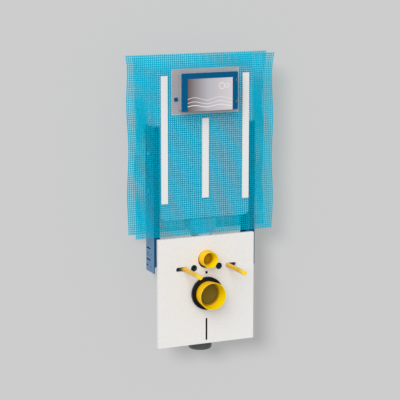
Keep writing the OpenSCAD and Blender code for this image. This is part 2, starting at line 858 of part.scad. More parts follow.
// Drain socket: short body in the panel's hole and a ring that seats on the panel
module drain_socket() {
    from = drain_bend_d;
    body_r = drain_cap_r + socket_wall;
    color([0.16, 0.17, 0.18]) translate([0, 0, up(drain_h)]) difference() {
        union() {
            along_y(collar_ring_r, from - collar_ring_l, from + eps);
            along_y(body_r, from, panel_d + eps);
            along_y(ring_r, panel_d, ring_d - ring_edge);
            along_y(ring_r - ring_edge, ring_d - ring_edge - eps, ring_d);
        }
        translate([0, -from, -drain_bend_r]) mirror([0, 0, 1]) quarter(drain_r + seat, drain_bend_r);
        along_y(drain_r - drain_wall, from - eps, from + socket_wall + eps);
        along_y(drain_cap_r + seat, from + socket_wall, ring_d + eps);
    }
}

// Drain bend: quarter turn from the socket down
module drain_bend() {
    color([0.2, 0.21, 0.22]) translate([0, -drain_bend_d, up(drain_h) - drain_bend_r]) mirror([0, 0, 1])
        difference() {
            quarter(drain_r, drain_bend_r);
            quarter(drain_r - drain_wall, drain_bend_r);
        }
}

// Upright drain pipe with a chamfered lower end and a bead under the clamp
module drain_pipe() {
    top = up(drain_h) - drain_bend_r;
    low = up(drain_low_h);
    stop = up(clamp_low_h) - seat;
    inner = drain_r - drain_wall;
    outer = drain_r + bead_out;
    color([0.2, 0.21, 0.22]) translate([0, -drain_d, 0]) rotate_extrude() polygon([
        [inner, low], [drain_r - drain_chamfer, low], [drain_r, low + drain_chamfer * 2],
        [drain_r, stop - stop_bead_l], [outer, stop - stop_bead_l], [outer, stop], [drain_r, stop],
        [drain_r, top - bead_l], [outer, top - bead_l], [outer, top], [inner, top]
    ]);
}

// Yellow cap in the drain socket, flared in front of the ring
module drain_cap() {
    color("gold") translate([0, 0, up(drain_h)])
        cap(drain_cap_r, drain_rim_r, drain_cap_r - cap_wall, drain_recess_r,
            drain_bend_d + socket_wall, ring_d, drain_cap_d, drain_neck_in, drain_recess_d);
}

// Black holder on the fixing plate, with an open ring that grips the drain socket's collar
module drain_holder() {
    ring_out = collar_ring_r + holder_ring_w;
    color([0.1, 0.1, 0.11]) translate([0, -plate_d, up(drain_h)]) rotate([90, 0, 0])
        linear_extrude(height = holder_t) difference() {
            union() {
                circle(r = ring_out);
                translate([-holder_w / 2, 0]) square([holder_w, holder_top_h - drain_h]);
            }
            circle(r = collar_ring_r + seat);
            translate([-ring_out, -2 * ring_out - holder_ring_low]) square([2 * ring_out, 2 * ring_out]);
        }
}

// Steel band with two ears round the drain pipe
module drain_clamp() {
    color("silver") translate([0, -drain_d, up(clamp_low_h)]) difference() {
        union() {
            cylinder(r = drain_r + seat + clamp_t, h = clamp_w);
            for (s = [-1, 1]) translate([s * (drain_r + clamp_ear / 2), 0, clamp_w / 2])
                cube([clamp_ear, 3 * clamp_t, clamp_w], center = true);
        }
        translate([0, 0, -eps]) cylinder(r = drain_r + seat, h = clamp_w + 2 * eps);
    }
}

// Two arms from the fixing plate's lower fold down to the clamp's ears
module clamp_arms() {
    low = up(clamp_low_h);
    high = up(clamp_top_h);
    top = up(plate_low_h);
    color("steelblue") for (s = [-1, 1]) {
        translate([s * (drain_r + clamp_ear + arm_t / 2) - arm_t / 2, 0, 0]) rotate([90, 0, 90])
            linear_extrude(height = arm_t) polygon([
                [-drain_d - arm_w / 2, low], [-drain_d + arm_w / 2, low], [-drain_d + arm_w / 2, high],
                [-plate_d + plate_fold, top], [-plate_d, top], [-drain_d - arm_w / 2, high]
            ]);
    }
}

// Place of the square hole in the flange, seen from the front
module at_flange_hole(d0) {
    translate([-flange_hole_x, -d0, up(box_h) - flange_hole_in]) children();
}

// Flange of the protection box on the cistern's front
module box_flange() {
    mid = (flange_low_h + flange_top_h) / 2;
    color("gray") difference() {
        translate([0, 0, up(mid)])
            plate_y(flange_w, flange_top_h - flange_low_h, frame_d, frame_d + flange_t, box_corner_r - 1);
        translate([0, 0, up(box_h)]) plate_y(box_w - 2 * box_wall, box_l - 2 * box_wall,
            frame_d - eps, frame_d + flange_t + eps, box_corner_r - 1);
        at_flange_hole(frame_d) cube([flange_hole_w, 4 * flange_t, flange_hole_w], center = true);
    }
}

// Blue plug in the flange's square hole
module flange_plug() {
    w = flange_hole_w - 2 * seat;
    color([0.02, 0.34, 0.51]) at_flange_hole(frame_d + flange_t / 2 + eps / 2)
        cube([w, flange_t + eps, w], center = true);
}

// Four walls of the protection box
module box_body() {
    color("gray") translate([0, 0, up(box_h)]) difference() {
        plate_y(box_w, box_l, frame_d + flange_t, cover_d - cover_t, box_corner_r);
        plate_y(box_w - 2 * box_wall, box_l - 2 * box_wall, frame_d, cover_d, box_corner_r - 1);
    }
}

// Blue cover with a rim over the box, and four latch slots
module box_cover() {
    rim_d = cover_d - cover_t - cover_rim;
    color([0.02, 0.34, 0.51]) translate([0, 0, up(box_h)]) difference() {
        plate_y(cover_w, cover_l, rim_d, cover_d, box_corner_r);
        plate_y(box_w + seat, box_l + seat, rim_d - eps, cover_d - cover_t, box_corner_r);
        for (sx = [-1, 1], sz = [-1, 1]) {
            translate([sx * latch_x, -cover_d, sz * latch_z])
                cube([latch_w, 4 * cover_t, latch_l], center = true);
        }
    }
}

// Card on the cover, flush with the cover's lower edge
module box_card() {
    color("lightgray") translate([0, 0, up(box_h) - (cover_l - card_l) / 2])
        plate_y(card_w, card_l, cover_d, cover_d + card_t, 1);
}

// Half width of the net at a height: cut a little unevenly, and flared at the top
function net_edge(h, phase) =
    net_side_x + net_wave * sin(h * net_turn + phase)
    + net_flare * max(0, 1 - (net_top_h - h) / net_flare_l);

// Outline of a net sheet, its left and right edges swinging by their own phases
module net_outline(phases) {
    rise = (net_top_h - net_low_h) / net_steps;
    polygon([
        for (i = [0 : net_steps]) [net_edge(net_low_h + i * rise, phases[1]), up(net_low_h + i * rise)],
        for (i = [net_steps : -1 : 0]) [-net_edge(net_low_h + i * rise, phases[0]), up(net_low_h + i * rise)]
    ]);
}

// Front sheet, cut out round the flange
module net_front() {
    cut_w = flange_w + 2 * net_gap;
    cut_l = flange_top_h - flange_low_h + 2 * net_gap;
    color("deepskyblue") translate([0, -frame_d, 0]) rotate([90, 0, 0]) linear_extrude(height = net_t)
        difference() {
            net_outline(front_phases);
            translate([-cut_w / 2, up(flange_low_h) - net_gap]) square([cut_w, cut_l]);
        }
}

// Back sheet, against the legs' and the cistern's backs
module net_back() {
    color("deepskyblue") translate([0, net_t, 0]) rotate([90, 0, 0]) linear_extrude(height = net_t)
        net_outline(back_phases);
}

// White strip on the front net
module strip(x, low, top) {
    color("white") translate([x, 0, (up(low) + up(top)) / 2])
        plate_y(strip_w, top - low, frame_d + net_t, frame_d + net_t + strip_t, 1);
}

module strip_left() {
    strip(-strip_x, strip_low_h, strip_top_h);
}

module strip_right() {
    strip(strip_x, strip_low_h, strip_top_h);
}

module strip_middle() {
    strip(0, mid_strip_low_h, mid_strip_top_h);
}

leg_left();
leg_right();
leg_clip_left();
leg_clip_right();
anchor_pad_left();
anchor_pad_right();
rear_crossbar();
fixing_plate();
rod_left();
rod_right();
rod_nuts();
sleeve_left();
sleeve_right();
insulation_panel();
panel_inserts();
cistern();
outlet_collar();
union_nut();
flush_bend();
flush_socket();
flush_cap();
drain_socket();
drain_bend();
drain_pipe();
drain_cap();
drain_holder();
drain_clamp();
clamp_arms();
box_flange();
flange_plug();
box_body();
box_cover();
box_card();
net_front();
net_back();
strip_left();
strip_right();
strip_middle();
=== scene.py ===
"""Looks of the frame for a wall hung toilet: net, rod threads, bolts, materials, wall, lamps and camera."""

import json
import math

import bpy
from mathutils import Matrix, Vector


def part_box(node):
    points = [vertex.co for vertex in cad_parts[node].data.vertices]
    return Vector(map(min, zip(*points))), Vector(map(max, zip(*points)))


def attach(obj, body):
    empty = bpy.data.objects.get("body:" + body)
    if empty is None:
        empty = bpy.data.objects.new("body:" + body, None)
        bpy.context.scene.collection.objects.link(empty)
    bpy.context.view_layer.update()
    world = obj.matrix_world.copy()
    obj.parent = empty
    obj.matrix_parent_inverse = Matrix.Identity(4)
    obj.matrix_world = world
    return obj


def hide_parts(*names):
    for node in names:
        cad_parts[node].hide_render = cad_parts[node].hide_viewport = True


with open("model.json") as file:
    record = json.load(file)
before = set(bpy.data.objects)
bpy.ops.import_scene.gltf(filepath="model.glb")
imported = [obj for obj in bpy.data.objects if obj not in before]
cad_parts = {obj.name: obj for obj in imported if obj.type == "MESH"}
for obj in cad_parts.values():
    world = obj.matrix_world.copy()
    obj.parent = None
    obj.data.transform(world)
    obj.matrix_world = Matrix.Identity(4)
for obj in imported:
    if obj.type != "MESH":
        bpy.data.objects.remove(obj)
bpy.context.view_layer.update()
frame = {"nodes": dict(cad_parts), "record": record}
nodes = frame["nodes"]
scene = bpy.context.scene

MM = 0.001

# Net: spacing, width and thickness of the yarn, how far it weaves, and how its free sides curl and drift
NET_PITCH = 8 * MM
NET_RIBBON = 4.2 * MM
NET_THREAD = 0.5 * MM
NET_WEAVE = 0.28 * MM
NET_CURL = 2.5 * MM
NET_DRIFT = 0.35 * MM
# Distances from the middle: threads run straight up to the first, the sides are held up to the second,
# curl over the third, and points beyond the fourth belong to a side edge
NET_STRAIGHT = 0.20
NET_HELD = 0.215
NET_FREE = 0.065
NET_EDGE_FROM = 0.25

# Thread of the rods
THREAD_PITCH = 1.75 * MM
THREAD_DEPTH = 0.95 * MM
ROD_CORNERS = 24
ROWS_PER_PITCH = 4

# Bolts: width across flats, height of the head, radius and thickness of the washer
LARGE_BOLT = (13 * MM, 5.3 * MM, 9 * MM, 1.6 * MM)
SMALL_BOLT = (10 * MM, 4 * MM, 5.4 * MM, 1.0 * MM)
WASHER_CORNERS = 28
LUG_BOLT_Y = -0.040
LUG_BOLT_HEIGHTS = (0.300, 0.440)
CLAMP_BOLT_X = 0.0535
CLAMP_BOLT_Y = -0.035
CROSSBAR_BOLT_X = 0.1945
CROSSBAR_BOLT_Z = 0.010

# Places at which a colour changes; each is an edge of painted sheen, painted light or painted shade
PAINTED_SHEEN_NORMAL = 0.7
PAINTED_SHEEN_FADE = 0.24
RING_PAINTED_LIGHT_R = 0.047
PAINTED_TIP_LIGHT_L = 0.040
PAINTED_TIP_LIGHT_FADE = 0.030
CAP_PAINTED_SHADE_OUT = 0.002
PAINTED_EYELET_LIGHT_FROM_X = 0.03

WALL_Y = 0.075
WALL_HALF = 6.0
WALL_GLOW = 0.347
WALL_DIFFUSE = 0.10
WORLD_STRENGTH = 0.66

# Camera fitted to the photo
CAMERA_PLACE = (-2.2792, -5.1914, 1.3071)
CAMERA_AIM = (-0.02093, -0.080, 0.25757)
CAMERA_LENS = 136.3


# Materials


def linear(*rgb):
    """sRGB from 0 to 255 as the linear colour that a shader takes."""
    out = []
    for c in rgb:
        c = c / 255
        out.append(c / 12.92 if c <= 0.04045 else ((c + 0.055) / 1.055) ** 2.4)
    return (*out, 1.0)


def principled(name, colour, rough, **sockets):
    """A material with one principled shader. The other sockets are given by name, with _ for a space."""
    mat = bpy.data.materials.new(name)
    mat.use_nodes = True
    shader = mat.node_tree.nodes["Principled BSDF"]
    shader.inputs["Base Color"].default_value = colour
    shader.inputs["Roughness"].default_value = rough
    for key, value in sockets.items():
        shader.inputs[key.replace("_", " ")].default_value = value
    return mat


def add(mat, kind, **values):
    """Adds a shader node, with its properties and its unlinked sockets."""
    node = mat.node_tree.nodes.new(kind)
    for key, value in values.items():
        if hasattr(node, key):
            setattr(node, key, value)
        else:
            node.inputs[key.replace("_", " ")].default_value = value
    return node


def wire(mat, source, target):
    """Links an output to an input."""
    mat.node_tree.links.new(source, target)


def shader_input(mat, name):
    """An input of the material's principled shader."""
    return mat.node_tree.nodes["Principled BSDF"].inputs[name]


def surface(mat):
    """The material's output for its surface."""
    return mat.node_tree.nodes["Material Output"].inputs["Surface"]


def math_node(mat, operation, a, b=0.0, c=0.0):
    """One operation on numbers or sockets."""
    node = mat.node_tree.nodes.new("ShaderNodeMath")
    node.operation = operation
    for socket, value in zip(node.inputs, (a, b, c)):
        if isinstance(value, (int, float)):
            socket.default_value = value
        else:
            wire(mat, value, socket)
    return node.outputs[0]


def place_of(mat):
    """Place in the shared frame, in metres."""
    return mat.node_tree.nodes.get("Place") or add(mat, "ShaderNodeTexCoord", name="Place")


def object_axes(mat):
    """The three axes of the place in the shared frame."""
    return axes_of(mat, place_of(mat).outputs["Object"])


def squared_distance(mat, across, up):
    """The square of the distance from an axis along Y."""
    return math_node(mat, "MULTIPLY_ADD", across, across, math_node(mat, "MULTIPLY", up, up))


def share_of(mat, part, whole):
    """A part of a length as a share, kept between 0 and 1."""
    share = math_node(mat, "MAXIMUM", math_node(mat, "DIVIDE", part, whole), 0.0)
    return math_node(mat, "MINIMUM", share, 1.0)


def colour_ramp(mat, *stops):
    """A ramp from pairs of a position and a colour, the lowest first and the highest second."""
    ramp = add(mat, "ShaderNodeValToRGB")
    points = ramp.color_ramp.elements
    for point, (position, colour) in zip(points, stops):
        point.position = position
        point.color = colour
    for position, colour in stops[2:]:
        points.new(position).color = colour
    return ramp


def grain(mat, scale, strength, distance=0.2 * MM):
    """Fine noise in the surface, such as orange peel in a powder coat."""
    noise = add(mat, "ShaderNodeTexNoise", Scale=scale, Detail=2.0)
    wire(mat, place_of(mat).outputs["Object"], noise.inputs["Vector"])
    bump = add(mat, "ShaderNodeBump", Strength=strength, Distance=distance)
    wire(mat, noise.outputs["Fac"], bump.inputs["Height"])
    wire(mat, bump.outputs["Normal"], shader_input(mat, "Normal"))


def zinc_material():
    """Zinc plating: two near greys in soft patches."""
    dull, bright = linear(176, 178, 176), linear(204, 204, 198)
    mat = principled("zinc", dull, 0.34, Metallic=0.9)
    noise = add(mat, "ShaderNodeTexNoise", Scale=160, Detail=3.0)
    wire(mat, place_of(mat).outputs["Object"], noise.inputs["Vector"])
    ramp = colour_ramp(mat, (0.35, dull), (0.65, bright))
    wire(mat, noise.outputs["Fac"], ramp.inputs["Fac"])
    return paint(mat, ramp.outputs["Color"])


def foam_material():
    """Moulded beaded foam: flattened beads with fine dark joints."""
    joint, bead = linear(223, 222, 220), linear(237, 235, 232)
    mat = principled("foam_white", bead, 0.75)
    cells = add(mat, "ShaderNodeTexVoronoi", feature="DISTANCE_TO_EDGE", Scale=230.0)
    wire(mat, place_of(mat).outputs["Object"], cells.inputs["Vector"])
    ramp = colour_ramp(mat, (0.0, joint), (0.16, bead))
    wire(mat, cells.outputs["Distance"], ramp.inputs["Fac"])
    bump = add(mat, "ShaderNodeBump", Strength=0.35, Distance=0.4 * MM)
    wire(mat, ramp.outputs["Color"], bump.inputs["Height"])
    wire(mat, bump.outputs["Normal"], shader_input(mat, "Normal"))
    return paint(mat, ramp.outputs["Color"])


def mix_in(mat, share, shader):
    """Gives a share of the surface to a second shader."""
    mix = add(mat, "ShaderNodeMixShader", Fac=share)
    wire(mat, surface(mat).links[0].from_socket, mix.inputs[1])
    wire(mat, shader.outputs["BSDF"], mix.inputs[2])
    wire(mat, mix.outputs["Shader"], surface(mat))


def net_material():
    """Flat yarn: light passes through it, and what is behind it shows between its fibres."""
    yarn = linear(0, 208, 236)
    mat = principled("net_blue", yarn, 0.5, Specular_IOR_Level=0.05)
    mix_in(mat, 0.4, add(mat, "ShaderNodeBsdfTranslucent", Color=yarn))
    mix_in(mat, 0.58, add(mat, "ShaderNodeBsdfTransparent", Color=(0.60, 1.0, 1.0, 1.0)))
    return mat


def axes_of(mat, source):
    """The three axes of a place or of a normal."""
    split = add(mat, "ShaderNodeSeparateXYZ")
    wire(mat, source, split.inputs["Vector"])
    return split.outputs["X"], split.outputs["Y"], split.outputs["Z"]


def facing(mat):
    """The three axes of the face's own direction."""
    return axes_of(mat, add(mat, "ShaderNodeNewGeometry").outputs["True Normal"])


def blend(mat, share, first, second):
    """From the first colour to the second; each is a colour or a socket."""
    mix = add(mat, "ShaderNodeMix", data_type="RGBA")
    wire(mat, share, mix.inputs[0])
    for socket, colour in ((mix.inputs[6], first), (mix.inputs[7], second)):
        if isinstance(colour, tuple):
            socket.default_value = colour
        else:
            wire(mat, colour, socket)
    return mix.outputs[2]


def paint(mat, colour):
    """Takes the surface's colour from a socket."""
    wire(mat, colour, shader_input(mat, "Base Color"))
    return mat


def steel_material(net_low):
    """Powder coat. Below the net, the sides of the profiles are painted paler, a painted sheen for the
    wall's reflection; it fades upwards, where the net keeps that light off.
    """
    front, painted_side_sheen = linear(0, 72, 106), linear(98, 134, 168)
    mat = principled("steel_blue", front, 0.35, Specular_IOR_Level=0.12)
    # Painted sheen: faces that look sideways get a paler colour below the net, fading upwards
    side = math_node(mat, "GREATER_THAN", math_node(mat, "ABSOLUTE", facing(mat)[0]), PAINTED_SHEEN_NORMAL)
    below = math_node(mat, "SUBTRACT", net_low + PAINTED_SHEEN_FADE, object_axes(mat)[2])
    sheen = share_of(mat, below, PAINTED_SHEEN_FADE)
    return paint(mat, blend(mat, math_node(mat, "MULTIPLY", side, sheen), front, painted_side_sheen))


def ring_material():
    """Black moulding, painted greyer round the drain cap than at the outer lip of its collar; the grey is
    painted light.
    """
    # The inner grey is painted light on the black moulding
    outer, inner = linear(12, 16, 22), linear(70, 78, 88)
    mat = principled("ring_black", outer, 0.45, Specular_IOR_Level=0.3)
    x, _, z = object_axes(mat)
    square = squared_distance(mat, x, math_node(mat, "SUBTRACT", z, DRAIN_AXIS_Z))
    # Painted light: the black turns grey near the drain cap
    near = math_node(mat, "LESS_THAN", square, RING_PAINTED_LIGHT_R * RING_PAINTED_LIGHT_R)
    return paint(mat, blend(mat, near, outer, inner))


def sleeve_material(tip):
    """Yellow tube; its closed tip is painted brighter, a painted highlight."""
    # The bright yellow is a painted highlight for the tip
    tube, bright = linear(228, 178, 22), linear(255, 218, 4)
    mat = principled("sleeve_yellow", tube, 0.38)
    # Painted highlight: the last stretch towards the tip turns brighter
    far = math_node(mat, "SUBTRACT", tip + PAINTED_TIP_LIGHT_L, object_axes(mat)[1])
    return paint(mat, blend(mat, share_of(mat, far, PAINTED_TIP_LIGHT_FADE), tube, bright))


def cap_material():
    """Yellow plastic, painted a deeper yellow on the outside as painted shade for its sides. The shoulders
    and floors of the cups get little light, and painted shade darkens them.
    """
    # The outer colour is painted shade for the cap's sides
    inner, outer = linear(255, 224, 0), linear(252, 198, 8)
    mat = principled("cap_yellow", inner, 0.42, Specular_IOR_Level=0.12)
    x, y, z = object_axes(mat)
    across, _, up = facing(mat)
    small = math_node(mat, "GREATER_THAN", z, (FLUSH_AXIS_Z + DRAIN_AXIS_Z) / 2)
    axis = math_node(mat, "MULTIPLY_ADD", small, FLUSH_AXIS_Z - DRAIN_AXIS_Z, DRAIN_AXIS_Z)
    # Painted shade: faces that look away from the cup's axis take the outer colour
    out = math_node(mat, "MULTIPLY", up, math_node(mat, "SUBTRACT", z, axis))
    out = math_node(mat, "GREATER_THAN", math_node(mat, "MULTIPLY_ADD", across, x, out), CAP_PAINTED_SHADE_OUT)
    colour = blend(mat, out, inner, outer)
    # Painted shade: the shoulders and floors of the cups are darker
    for height, radius, depth, shade in CUP_PAINTED_SHADES:
        square = squared_distance(mat, x, math_node(mat, "SUBTRACT", z, height))
        inside = math_node(mat, "LESS_THAN", square, radius * radius)
        behind = math_node(mat, "GREATER_THAN", y, -depth)
        colour = blend(mat, math_node(mat, "MULTIPLY", inside, behind), colour, shade)
    return paint(mat, colour)


def insert_material():
    """Black inserts, a dark fill that stands in for the shade in the panel's openings; the walls of the two
    eyelets are painted greyer, painted light.
    """
    # The black stands in for shade in the openings; the grey is painted light on the eyelets' walls
    shade_black, painted_eyelet_light = linear(9, 9, 12), linear(70, 82, 92)
    mat = principled("insert_black", shade_black, 0.5, Specular_IOR_Level=0.2)
    # Painted light: away from the middle, the eyelets' walls turn grey
    aside = math_node(mat, "GREATER_THAN", math_node(mat, "ABSOLUTE", object_axes(mat)[0]), PAINTED_EYELET_LIGHT_FROM_X)
    return paint(mat, blend(mat, aside, shade_black, painted_eyelet_light))


def card_material(low, high):
    """Printed card: a soft ground from left to right, three pale waves and two rings."""
    middle = linear(186, 184, 190)
    mat = principled("card_print", middle, 0.35)
    x_place, _, z_place = object_axes(mat)
    wide = high.x - low.x
    u = math_node(mat, "DIVIDE", math_node(mat, "SUBTRACT", x_place, low.x), wide)
    v = math_node(mat, "DIVIDE", math_node(mat, "SUBTRACT", z_place, low.z), wide)
    ramp = colour_ramp(mat, (0.0, linear(106, 90, 92)), (1.0, linear(216, 209, 211)), (0.45, middle))
    wire(mat, u, ramp.inputs["Fac"])
    swell = math_node(mat, "SINE", math_node(mat, "MULTIPLY", u, CARD_WAVES))
    marks = 0.0
    for base, swing, thick in CARD_WAVE_LINES:
        wave = math_node(mat, "MULTIPLY_ADD", swell, swing, base)
        near = math_node(mat, "COMPARE", v, wave, thick)
        marks = math_node(mat, "MAXIMUM", near, marks)
    for x, z, r in CARD_RINGS:
        square = squared_distance(mat, math_node(mat, "SUBTRACT", u, x), math_node(mat, "SUBTRACT", v, z))
        far = math_node(mat, "SQRT", square)
        marks = math_node(mat, "MAXIMUM", math_node(mat, "COMPARE", far, r, CARD_RING_THICK), marks)
    return paint(mat, blend(mat, marks, ramp.outputs["Color"], linear(233, 230, 232)))


# Heights of the two caps' axes in the frame
FLUSH_AXIS_Z = 0.035
DRAIN_AXIS_Z = -0.100

# Height of the axis, radius, depth and colour of the painted shade: shoulder and floor of each cup
CUP_PAINTED_SHADES = (
    (FLUSH_AXIS_Z, 0.0245, 0.1005, linear(190, 142, 8)),
    (FLUSH_AXIS_Z, 0.0202, 0.0990, linear(186, 140, 10)),
    (DRAIN_AXIS_Z, 0.0462, 0.1105, linear(168, 124, 16)),
    (DRAIN_AXIS_Z, 0.0402, 0.1095, linear(120, 104, 40)),
)

# Print on the card, as shares of its width: height, swing and half thickness of each wave,
# and place and radius of each ring
CARD_WAVES = 11.0
CARD_WAVE_LINES = ((0.10, 0.020, 0.008), (0.17, 0.026, 0.006), (0.25, 0.030, 0.005))
CARD_RINGS = ((0.76, 0.50, 0.062), (0.88, 0.50, 0.038))
CARD_RING_THICK = 0.007


def make_materials():
    """All materials by their slot."""
    made = {}

    def keep(mat):
        """Files a material under its own name."""
        made[mat.name.split(".")[0]] = mat
        return mat

    grain(keep(steel_material(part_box("net_back")[0].z)), 1400, 0.08)
    grain(keep(principled("steel_dark", linear(34, 84, 108), 0.35)), 1400, 0.12)
    keep(zinc_material())
    grain(keep(principled("clip_grey", linear(196, 198, 196), 0.5)), 700, 0.08)
    grain(keep(sleeve_material(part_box("sleeve_left")[0].y)), 500, 0.05)
    grain(keep(cap_material()), 420, 0.04)
    grain(keep(principled("tank_grey", linear(178, 196, 206), 0.5)), 260, 0.1, 0.3 * MM)
    grain(keep(principled("fitting_grey", linear(120, 123, 124), 0.45)), 600, 0.06)
    grain(keep(principled("pipe_black", linear(80, 82, 82), 0.4)), 300, 0.06)
    grain(keep(ring_material()), 700, 0.08)
    grain(keep(insert_material()), 700, 0.08)
    grain(keep(principled("box_grey", linear(170, 167, 171), 0.5)), 700, 0.08)
    grain(keep(principled("cover_blue", linear(2, 87, 132), 0.3, Specular_IOR_Level=0.06)), 800, 0.05)
    grain(keep(principled("strip_white", linear(228, 229, 228), 0.7)), 900, 0.25)
    keep(foam_material())
    keep(net_material())
    keep(card_material(*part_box("box_card")))
    return made


# Meshes


def mesh_object(name, vertices, faces, material):
    """A new object with one material."""
    mesh = bpy.data.meshes.new(name)
    mesh.from_pydata(vertices, [], faces)
    mesh.materials.append(material)
    mesh.update()
    obj = bpy.data.objects.new(name, mesh)
    scene.collection.objects.link(obj)
    return obj


def side_edge(node, sign):
    """The height and half width of a net sheet's cut edge, as the CAD sheet has it."""
    widest = {}
    for vertex in nodes[node].data.vertices:
        x, z = sign * vertex.co.x, round(vertex.co.z, 5)
        if x > NET_EDGE_FROM:
            widest[z] = max(widest.get(z, 0.0), x)
    return sorted(widest.items())


def edge_at(edge, z):
    """The half width of a cut edge at a height."""
    if z <= edge[0][0]:
        return edge[0][1]
    for (z0, x0), (z1, x1) in zip(edge, edge[1:]):
        if z <= z1:
            return x0 + (x1 - x0) * (z - z0) / (z1 - z0)
    return edge[-1][1]


def runs(values, inside):
    """Stretches of neighbouring values for which inside is true."""
    run = []
    for value in values:
        if inside(value):
            run.append(value)
        elif run:
            yield run
            run = []
    if run:
        yield run


def net_sheet(name, node, material, cut=None, seed=0.0):
    """Woven ribbons in place of a CAD sheet, with its outline and its opening."""
    low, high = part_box(node)
    mid_y = (low.y + high.y) / 2
    edges = {s: side_edge(node, s) for s in (-1, 1)}
    vertices, faces = [], []

    def ribbon(points, across):
        """A flat closed band along points; across is its half width as a vector."""
        half = Vector((0, NET_THREAD / 2, 0))
        start = len(vertices)
        for p in points:
            vertices.extend((p - across - half, p + across - half, p + across + half, p - across + half))
        for k in range(len(points) - 1):
            a = start + 4 * k
            for i in range(4):
                j = (i + 1) % 4
                faces.append((a + i, a + j, a + 4 + j, a + 4 + i))
        last = start + 4 * (len(points) - 1)
        faces.append((start + 3, start + 2, start + 1, start))
        faces.append((last, last + 1, last + 2, last + 3))

    def curl(x, z):
        """The free sides stand a little off the plane."""
        free = max(0.0, abs(x) - NET_HELD) / NET_FREE
        return NET_CURL * free * free * math.sin(9 * z + 5 * x + seed)

    def drift(t, row):
        """Uneven spacing of the threads."""
        return NET_DRIFT * math.sin(23 * t + 1.7 * row + seed)

    half_ribbon = NET_RIBBON / 2
    widest = {s: max(x for z, x in edges[s]) - half_ribbon for s in (-1, 1)}

    def follow(x, z):
        """The threads near a free side run along it."""
        s = 1 if x > 0 else -1
        share = max(0.0, abs(x) - NET_STRAIGHT) / (widest[s] - NET_STRAIGHT)
        return x + s * share * (edge_at(edges[s], z) - half_ribbon - widest[s])

    def woven(x, z):
        """Whether a crossing lies outside the opening."""
        if not cut:
            return True
        beside = not cut[0].x - half_ribbon < x < cut[1].x + half_ribbon
        return beside or not cut[0].z - half_ribbon < z < cut[1].z + half_ribbon

    columns = round((widest[-1] + widest[1]) / NET_PITCH) + 1
    rows = int((high.z - low.z - NET_RIBBON) / NET_PITCH) + 1
    xs = [-widest[-1] + i * (widest[-1] + widest[1]) / (columns - 1) for i in range(columns)]
    zs = [low.z + half_ribbon + NET_PITCH * (j + 0.5) for j in range(rows)]
    ends = [low.z] + zs + [high.z]
    for i, x in enumerate(xs):
        for run in runs(range(len(ends)), lambda j: woven(x, ends[j])):
            points = []
            for j in run:
                z = ends[j]
                side = NET_WEAVE if (i + j) % 2 else -NET_WEAVE
                points.append(Vector((follow(x, z) + drift(z, i), mid_y + side + curl(x, z), z)))
            if len(points) > 1:
                ribbon(points, Vector((half_ribbon, 0, 0)))
    for j, z in enumerate(zs, start=1):
        stops = [-edge_at(edges[-1], z)] + xs + [edge_at(edges[1], z)]
        for run in runs(range(len(stops)), lambda i: woven(stops[i], z)):
            points = []
            for i in run:
                x = stops[i] if i in (0, len(stops) - 1) else follow(stops[i], z)
                side = -NET_WEAVE if (i - 1 + j) % 2 else NET_WEAVE
                points.append(Vector((x, mid_y + side + curl(x, z), z + drift(x, j))))
            if len(points) > 1:
                ribbon(points, Vector((0, 0, half_ribbon)))
    sheet = mesh_object(name, vertices, faces, material)
    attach(sheet, "root")
    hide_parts(node)
    return sheet


def threaded_rod(name, node, material):
    """A metric thread in place of a plain rod."""
    around = ROD_CORNERS
    low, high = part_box(node)
    radius = (high.x - low.x) / 2
    x, z = (low.x + high.x) / 2, (low.z + high.z) / 2
    rows = int((high.y - low.y) / (THREAD_PITCH / ROWS_PER_PITCH))
    vertices, faces = [], []
    for k in range(rows + 1):
        y = low.y + (high.y - low.y) * k / rows
        taper = min(1.0, k / ROWS_PER_PITCH, (rows - k) / ROWS_PER_PITCH)
        for i in range(around):
            turn = i / around
            place = (y / THREAD_PITCH - turn) % 1.0
            crest = min(1.0, max(0.0, 2.4 * abs(2 * place - 1) - 0.7))
            r = radius - THREAD_DEPTH * (1 - crest * taper)
            angle = 2 * math.pi * turn
            vertices.append((x + r * math.cos(angle), y, z + r * math.sin(angle)))
    for k in range(rows):
        for i in range(around):
            j = (i + 1) % around
            faces.append((k * around + i, k * around + j, (k + 1) * around + j, (k + 1) * around + i))
    faces.append(tuple(range(around - 1, -1, -1)))
    faces.append(tuple(rows * around + i for i in range(around)))
    rod = mesh_object(name, vertices, faces, material)
    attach(rod, "root")
    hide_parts(node)


def turned(vertices, faces, profile, at, axis, corners):
    """Adds a solid turned about an axis. The profile's points are distance along the axis and radius."""
    axis = Vector(axis).normalized()
    side = axis.orthogonal().normalized()
    other = axis.cross(side)
    start = len(vertices)
    for along, radius in profile:
        for i in range(corners):
            a = 2 * math.pi * (i + 0.5) / corners
            vertices.append(Vector(at) + axis * along + radius * (side * math.cos(a) + other * math.sin(a)))
    for k in range(len(profile) - 1):
        for i in range(corners):
            j = (i + 1) % corners
            a, b = start + k * corners, start + (k + 1) * corners
            faces.append((a + i, a + j, b + j, b + i))
    faces.append(tuple(start + i for i in range(corners - 1, -1, -1)))
    last = start + (len(profile) - 1) * corners
    faces.append(tuple(last + i for i in range(corners)))


def hex_bolts(name, places, size, material):
    """Hex heads on round washers, both with bevels. Each place is a point and its outward axis."""
    across_flats, head, washer_r, washer = size
    vertices, faces = [], []
    disc = ((0, washer_r * 0.97), (washer * 0.3, washer_r), (washer, washer_r))
    r = across_flats / 2 / math.cos(math.pi / 6)
    for at, axis in places:
        turned(vertices, faces, disc, at, axis, WASHER_CORNERS)
        seat = Vector(at) + Vector(axis) * washer
        turned(vertices, faces, ((0, r), (head * 0.78, r), (head, r * 0.86)), seat, axis, 6)
    bolts = mesh_object(name, vertices, faces, material)
    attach(bolts, "root")


# The object

